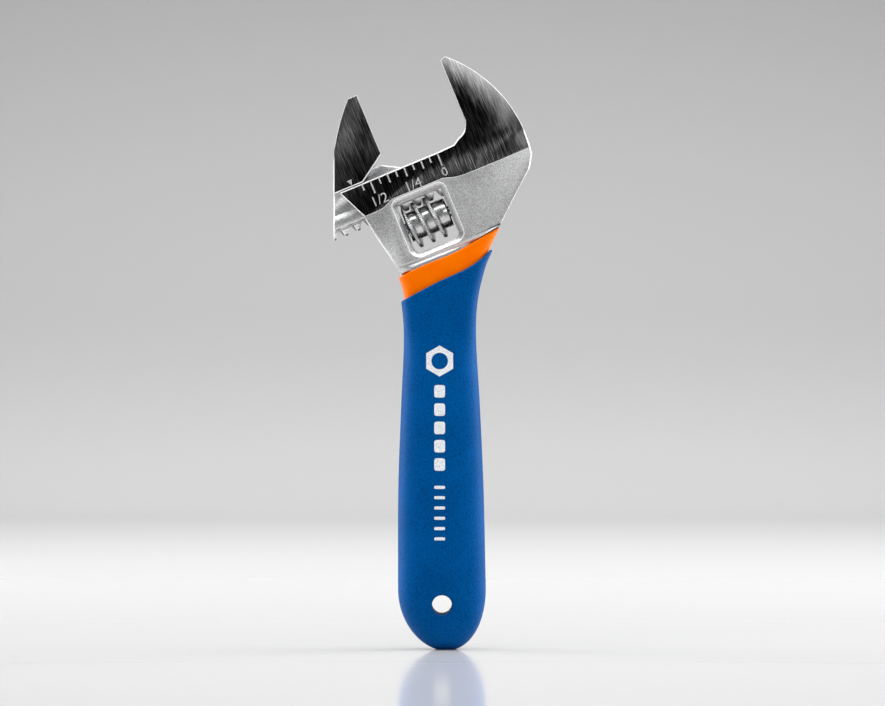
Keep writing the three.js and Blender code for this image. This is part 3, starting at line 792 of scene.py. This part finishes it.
def hole_patch(work, skin, outline, side, radius, rim):
    """Rings from the block's outline to the hole, rolling over its rim. Gives the last ring."""
    rings, centre = 5, Vector((0, HOLE_Z))
    angles = [math.atan2(v.co.z - centre.y, v.co.x) for v in outline]
    last = outline
    for k in range(1, rings + 1):
        share = k / rings
        ring = []
        for vertex, angle in zip(outline, angles):
            goal = centre + Vector((math.cos(angle), math.sin(angle))) * (radius + rim)
            place = Vector((vertex.co.x, vertex.co.z)).lerp(goal, share)
            ring.append(work.verts.new((place.x, side * skin.half_depth(place.x, place.y), place.y)))
        join_rows(work, last, ring)
        last = ring
    for k in range(1, 7 if rim else 1):
        roll = k / 6 * math.pi / 2
        ring = []
        for angle in angles:
            reach = radius + rim * (1 - math.sin(roll))
            place = centre + Vector((math.cos(angle), math.sin(angle))) * reach
            depth = skin.half_depth(place.x, place.y) - rim * (1 - math.cos(roll))
            ring.append(work.verts.new((place.x, side * depth, place.y)))
        join_rows(work, last, ring)
        last = ring
    return last


def skin_with_hole(work, skin, edge, lip, radius, rim, body_rows=BODY_ROWS):
    """One skin with its end closed and its hole lined. Gives its top row and their heights."""
    rows, tops = skin_rows(work, skin, edge, lip, body_rows)
    heights = [row[0].co.z for row in rows]
    low = max(i for i, z in enumerate(heights) if z < HOLE_Z - 3.0)
    high = min(i for i, z in enumerate(heights) if z > HOLE_Z + 3.0)
    half = 6
    rings = []
    for side, middle in ((1, COLUMNS // 4), (-1, 3 * COLUMNS // 4)):
        outline = block_outline(rows, low, high, middle - half, middle + half)
        if side > 0:  # walk round the back block the way that matches the front one
            outline = [outline[0]] + outline[:0:-1]
        rings.append(hole_patch(work, skin, outline, side, radius, rim))
    front_start = min(range(len(rings[1])), key=lambda k: (rings[1][k].co.xz - rings[0][0].co.xz).length)
    front = rings[1][front_start:] + rings[1][:front_start]
    if (front[1].co.xz - rings[0][1].co.xz).length > (front[-1].co.xz - rings[0][1].co.xz).length:
        front = [front[0]] + front[:0:-1]
    last = rings[0]
    for k in range(1, 6):
        ring = [work.verts.new(a.co.lerp(b.co, k / 6)) for a, b in zip(rings[0], front)]
        join_rows(work, last, ring)
        last = ring
    join_rows(work, last, front)
    blocks = {middle + j for middle in (COLUMNS // 4, 3 * COLUMNS // 4) for j in range(-half, half)}
    for i in range(len(rows) - 1):
        join_rows(work, rows[i], rows[i + 1], blocks if low <= i < high else ())
    close_end(work, rows[0], skin)
    used = [v for row in rows[low + 1:high] for v in row if not v.link_faces]
    bmesh.ops.delete(work, geom=used, context="VERTS")
    return rows[-1], tops


def dipped_layer(name, depth, wall, palm, edge, hole_radius, material):
    """A dipped layer: outside, lip, inside and the liner of the hole, as one closed skin."""
    work = bmesh.new()
    lip = wall / 2
    outside, inside = Skin(depth), Skin(depth + wall, palm)
    outer_top, tops = skin_with_hole(work, outside, edge, lip, hole_radius, 0.3)
    inner_rows = skin_with_hole(work, inside, edge, lip, hole_radius + LINER, 0.0, 40)
    last = outer_top
    steps = 8
    for k in range(1, steps):
        roll = k / steps * math.pi
        ring = [
            work.verts.new(outside.point(2 * math.pi * j / COLUMNS, tops[j] + lip * math.sin(roll),
                                         lip * (1 - math.cos(roll))))
            for j in range(COLUMNS)
        ]
        join_rows(work, last, ring)
        last = ring
    join_rows(work, last, inner_rows[0])
    bmesh.ops.recalc_face_normals(work, faces=work.faces)
    for face in work.faces:
        face.smooth = True
    work.transform(Matrix.Scale(MM, 4))
    open_edges = sum(1 for e in work.edges if len(e.link_faces) != 2)
    mesh = bpy.data.meshes.new(name)
    work.to_mesh(mesh)
    work.free()
    print(name, "faces:", len(mesh.polygons), "open edges:", open_edges)
    return new_object(name, mesh, [material])


blue_grip = dipped_layer("blue_dipped_grip", 0.0, OUTER_DIP, 0.0, OUTER_TOP, HOLE_R, BLUE)
orange_grip = dipped_layer("orange_dipped_collar", INNER_SKIN, INNER_DIP, PALM_DIP, INNER_TOP,
                           HOLE_R + LINER + LAYER_GAP, ORANGE)

# %% [markdown]
# ## The etched scale
# The scale reads the opening in sixteenths of an inch from a small pointer on the moving jaw. Its
# ticks repeat by a rule: every second one is longer, every fourth and eighth longer still. Points
# on a line carry one bar each, stretched by its number. The numbers stand below their ticks.

# %% Ticks by a rule
SIXTEENTH = 25.4 / 16
ZERO_A, MARK_Y, MARK_DEPTH = 5.0, -3.6, 0.03


def tick_tree(material):
    names = ["Count", "Step", "Width", "Short", "Second", "Fourth", "Eighth", "Depth"]
    graph, start = geometry_tree("etch ticks", names)
    size = {name: start.out(name) for name in names}
    step = graph.node("ShaderNodeCombineXYZ", inputs={0: size["Step"] * -1})
    count = graph.maths("ROUND", size["Count"])
    points = graph.node("GeometryNodeMeshLine", {"mode": "OFFSET"}, {"Count": count, "Offset": step})
    number = graph.node("GeometryNodeInputIndex")

    def every(count):
        return graph.maths("LESS_THAN", graph.maths("MODULO", number, count), 0.5)

    length = (size["Short"] + size["Second"] * every(2.0) + size["Fourth"] * every(4.0)
              + size["Eighth"] * every(8.0))
    stretch = graph.node("ShaderNodeCombineXYZ", inputs={0: size["Width"], 1: size["Depth"], 2: length})
    bar = graph.node("GeometryNodeMeshCube", inputs={"Size": (1, 1, 1)})
    hung = graph.node("GeometryNodeTransform", inputs={"Geometry": bar, "Translation": (0, 0, -0.5)})
    ticks = graph.node("GeometryNodeInstanceOnPoints", inputs={
        "Points": points, "Instance": hung, "Scale": stretch})
    finish_tree(graph, ticks, material)
    return graph


def make_ticks():
    piece = new_object("scale_ticks", bpy.data.meshes.new("scale_ticks"))
    sizes = {"Count": 10.0, "Step": SIXTEENTH, "Width": 0.26, "Short": 1.18, "Second": 0.42,
             "Fourth": 0.15, "Eighth": 0.6, "Depth": MARK_DEPTH}
    run_tree(piece, tick_tree(ETCHED), sizes)
    piece.data.transform(HEAD @ Matrix.Translation((ZERO_A, MARK_Y, SLIDE_B - 0.12)))
    return piece


ticks = make_ticks()
print("faces of the ticks:", len(ticks.data.polygons))

# %% [markdown]
# The numbers are etched too. They are set as text, turned into thin meshes and laid on the head,
# because a font already holds the right outlines. The pointer is a small wedge on the jaw.

# %% Numbers and pointer
def number(name, text, height, a, b):
    """A number of the scale, as a thin mesh flat on the head."""
    curve = bpy.data.curves.new(name, "FONT")
    curve.body, curve.size, curve.extrude = text, height / 0.7, MARK_DEPTH / 2
    curve.align_x, curve.align_y = "CENTER", "CENTER"
    curve.offset = -0.004 * height
    maker = bpy.data.objects.new(name, curve)
    bpy.context.scene.collection.objects.link(maker)
    mesh = bpy.data.meshes.new_from_object(maker)
    bpy.data.objects.remove(maker)
    facing = Matrix(((1, 0, 0, a), (0, 0, -1, MARK_Y), (0, 1, 0, b), (0, 0, 0, 1)))
    mesh.transform(HEAD @ facing)
    mesh.materials.clear()
    return new_object(name, mesh, [ETCHED])


def on_scale(x, z):
    return TO_HEAD @ (Vector((x, 0, z)) * MM)


numbers = []
for name, text, height, x, z in (
    ("scale_zero", "0", 1.5, 0.49, 83.8),
    ("scale_quarter", "1/4", 1.75, -5.03, 81.5),
    ("scale_half", "1/2", 1.75, -10.9, 78.9),
):
    spot = on_scale(x, z)
    numbers.append(number(name, text, height, spot.x, spot.z))


def make_pointer():
    work = bmesh.new()
    corners = [(-11.55, 15.75), (-10.55, 15.8), (-10.95, 14.85)]
    front = [work.verts.new((a, MARK_Y - MARK_DEPTH / 2, b)) for a, b in corners]
    back = [work.verts.new((a, MARK_Y + MARK_DEPTH / 2, b)) for a, b in corners]
    work.faces.new(front)
    work.faces.new(back[::-1])
    for i in range(3):
        j = (i + 1) % 3
        work.faces.new((front[j], front[i], back[i], back[j]))
    bmesh.ops.recalc_face_normals(work, faces=work.faces)
    mesh = bpy.data.meshes.new("jaw_pointer")
    work.to_mesh(mesh)
    work.free()
    mesh.transform(HEAD)
    return new_object("jaw_pointer", mesh, [ETCHED])


pointer = make_pointer()
print("numbers:", [piece.name for piece in numbers], "and", pointer.name)

# %% [markdown]
# ## The print on the grip
# A plain hexagon nut with two rows of dashes below it stands for the maker's print. Flat shapes
# are laid in front of the grip and dropped on it with a ray cast, as ink lies on a curved skin.

# %% Ink on a curved skin
INK_THICK = 0.03


def press_tree(material):
    graph, start = geometry_tree("press on grip", ["Lift"])
    graph.tree.interface.new_socket("Grip", in_out="INPUT", socket_type="NodeSocketObject")
    here = graph.node("GeometryNodeInputPosition")
    apart = graph.node("ShaderNodeSeparateXYZ", inputs={0: here})
    above = graph.node("ShaderNodeCombineXYZ", inputs={0: apart.out("X"), 1: -20 * MM, 2: apart.out("Z")})
    relative = {"transform_space": "RELATIVE"}
    grip = graph.node("GeometryNodeObjectInfo", relative, {"Object": start.out("Grip")})
    hit = graph.node("GeometryNodeRaycast", inputs={
        "Target Geometry": grip.out("Geometry"), "Source Position": above, "Ray Direction": (0, 1, 0),
        "Ray Length": 40 * MM})
    landed = graph.node("ShaderNodeSeparateXYZ", inputs={0: hit.out("Hit Position")})
    depth = landed.out("Y") + apart.out("Y") - start.out("Lift")
    moved = graph.node("ShaderNodeCombineXYZ", inputs={0: apart.out("X"), 1: depth, 2: apart.out("Z")})
    laid = graph.node("GeometryNodeSetPosition", inputs={
        "Geometry": start.out("Geometry"), "Position": moved})
    finish_tree(graph, laid, material)
    return graph


def flat_shape(work, corners_of, count, across=6, solid=False):
    """A thin closed shape of rings from share 0 to share 1; a solid one has no hole in its middle."""
    layers = []
    for y in (-INK_THICK / 2, INK_THICK / 2):
        layer = []
        for k in range(across + 1):
            layer.append([work.verts.new((x, y, z)) for x, z in corners_of(k / across)])
        layers.append(layer)
    for layer, flip in zip(layers, (False, True)):
        for low, high in zip(layer, layer[1:]):
            for j in range(count):
                k = (j + 1) % count
                quad = (low[j], low[k], high[k], high[j])
                work.faces.new(quad[::-1] if flip else quad)
        if solid:
            work.faces.new(layer[0][::-1] if flip else layer[0])
    for rim in (-1,) if solid else (0, -1):
        for j in range(count):
            k = (j + 1) % count
            work.faces.new((layers[0][rim][j], layers[1][rim][j], layers[1][rim][k], layers[0][rim][k]))


def make_print():
    work = bmesh.new()
    middle_x, middle_z = -0.4, 50.7

    def nut(share):
        points = []
        for j in range(48):
            angle = 2 * math.pi * j / 48
            to_side = (angle + math.pi / 6) % (math.pi / 3) - math.pi / 6
            hexagon = 2.35 / math.cos(to_side)
            radius = 1.45 + (hexagon - 1.45) * share
            points.append((middle_x + radius * math.cos(angle), middle_z + radius * math.sin(angle)))
        return points

    flat_shape(work, nut, 48)
    dashes = [(45.4 - 3.2 * i, 1.9, 2.2) for i in range(5)] + [(28.6 - 1.8 * i, 1.9, 0.55) for i in range(6)]
    for z, wide, tall in dashes:
        def dash(share, z=z, wide=wide, tall=tall):
            reach = 0.25 + 0.75 * share
            points = []
            for j in range(24):
                angle = 2 * math.pi * j / 24
                c, s = math.cos(angle), math.sin(angle)
                points.append((middle_x + wide / 2 * reach * math.copysign(abs(c) ** 0.35, c),
                               z + tall / 2 * reach * math.copysign(abs(s) ** 0.35, s)))
            return points

        flat_shape(work, dash, 24, 3, solid=True)
    bmesh.ops.recalc_face_normals(work, faces=work.faces)
    work.transform(Matrix.Scale(MM, 4))
    mesh = bpy.data.meshes.new("grip_print")
    work.to_mesh(mesh)
    work.free()
    piece = new_object("grip_print", mesh)
    return run_tree(piece, press_tree(INK), {"Lift": 0.005 * MM, "Grip": blue_grip})


ink = make_print()
print("faces of the print:", len(ink.data.polygons))

# %% [markdown]
# ## What moves with what
# The jaw, with its pointer, slides on the head; the worm turns in the window; all the rest is
# fixed to the handle. Each fine piece stands for its plain solid in the frame.

# %% Ride and replace
for piece, body, node, slot in (
    (head, "frame", "wrench_body", "forged_steel"),
    (jaw, "jaw", "movable_jaw", "forged_steel"),
    (worm, "worm", "adjusting_worm", "bright_steel"),
    (axle, "frame", "worm_pin", "bright_steel"),
    (spring, "frame", "worm_spring", "spring_steel"),
    (orange_grip, "frame", "grip_inner_sleeve", "inner_dip"),
    (blue_grip, "frame", "grip_outer_sleeve", "outer_dip"),
):
    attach(piece, body)
    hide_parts(node)
for piece in [ticks] + numbers:
    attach(piece, "frame")
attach(pointer, "jaw")
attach(ink, "frame")
print("marks that ride on the frame:", len(numbers) + 2)

# %% [markdown]
# ## The studio
# The wrench stands on its end on a pale glossy table that curves up into a grey wall, which is one
# sheet. Its colour is painted shade that changes slowly: lighter towards the back of the table,
# darker towards its front, and darker still up to the top of the wall.

# %% Table and wall
WALL_Y, SWEEP_R = 0.85, 0.22


def table_finish():
    finish = Finish("glossy_table", Specular_IOR_Level=0.5)
    apart = finish.node("ShaderNodeSeparateXYZ", inputs={0: finish.place})
    far, rise = apart.out("Y"), apart.out("Z")
    # Painted shade: the sheet is darker at the table's front and grows darker up the wall.
    near = finish.ramp(far, 0.0, WALL_Y - SWEEP_R)
    floor = finish.blend(near, linear(198, 198, 198), linear(214, 214, 214))
    low_wall = finish.blend(finish.ramp(rise, -0.01, 0.07), floor, linear(188, 188, 188))
    wall = finish.blend(finish.ramp(rise, 0.05, 0.3), low_wall, linear(150, 150, 150))
    finish.vary(Base_Color=wall, Roughness=finish.ramp(far, 0.04, 0.6, 0.12, 0.6))
    return finish.material


def sweep():
    """The table's section, curving up into the wall, drawn out sideways."""
    section = [(-2.5, 0.0), (0.0, 0.0), (WALL_Y - SWEEP_R, 0.0)]
    for k in range(1, 17):
        turn = k / 16 * math.pi / 2
        section.append((WALL_Y - SWEEP_R + SWEEP_R * math.sin(turn), SWEEP_R * (1 - math.cos(turn))))
    section.append((WALL_Y, 2.0))
    corners = [(x, y, z) for y, z in section for x in (-3, 3)]
    faces = [(2 * i, 2 * i + 1, 2 * i + 3, 2 * i + 2) for i in range(len(section) - 1)]
    mesh = bpy.data.meshes.new("table_and_wall")
    mesh.from_pydata(corners, [], faces)
    for face in mesh.polygons:
        face.use_smooth = True
    sheet = new_object("table_and_wall", mesh, [table_finish()])


sweep()
print("the wall stands", WALL_Y, "m behind the wrench")

# %% [markdown]
# A broad soft light above and two at the sides light the bright edges, whose near-white colour is
# a painted glint, and a narrow card high on the right draws the fixed jaw's round back. Little
# stands behind the camera, so the ground faces stay dark, and their nearly black colour is painted
# shade as well; one small card there and a painted highlight brighten the fixed jaw's tip.

# %% Lights and camera
def soft_light(name, place, target, size, power):
    lamp = bpy.data.lights.new(name, "AREA")
    lamp.shape, lamp.size, lamp.size_y, lamp.energy = "RECTANGLE", size[0], size[1], power
    holder = bpy.data.objects.new(name, lamp)
    holder.location = place
    holder.rotation_euler = (Vector(target) - Vector(place)).to_track_quat("-Z", "Y").to_euler()
    bpy.context.scene.collection.objects.link(holder)


MIDDLE = (0, 0, 0.06)
soft_light("top_softbox", (0, -0.1, 0.5), MIDDLE, (0.7, 0.4), 3.6)
soft_light("left_softbox", (-0.42, 0.12, 0.2), MIDDLE, (0.25, 0.5), 2.6)
soft_light("right_softbox", (0.42, 0.12, 0.25), MIDDLE, (0.25, 0.5), 2.6)
soft_light("wall_light", (0, 0.35, 0.9), (0, WALL_Y, 0.1), (1.4, 0.3), 5)
soft_light("rim_card", (0.3, -0.02, 0.36), (0.01, 0, 0.09), (0.1, 0.3), 0.5)
soft_light("tip_card", (0.12, -0.6, 0.32), (0.004, 0, 0.1), (0.12, 0.12), 0.35)

world = bpy.data.worlds.new("studio")
bpy.context.scene.world = world
world.use_nodes = True
world.node_tree.nodes["Background"].inputs["Color"].default_value = linear(200, 200, 200)
world.node_tree.nodes["Background"].inputs["Strength"].default_value = 0.35

CAMERA_BACK, CAMERA_HIGH, CAMERA_LENS = 0.8, 0.0521, 185
camera = bpy.data.objects.new("camera", bpy.data.cameras.new("camera"))
bpy.context.scene.collection.objects.link(camera)
camera.data.lens, camera.data.sensor_width = CAMERA_LENS, 36
camera.data.clip_start, camera.data.clip_end = 0.01, 20
camera.location = (0.0001, -CAMERA_BACK, CAMERA_HIGH)
camera.rotation_euler = (math.radians(90), 0, 0)
bpy.context.scene.camera = camera
bpy.context.scene.view_settings.view_transform = "Standard"
print("lights:", len(bpy.data.lights))
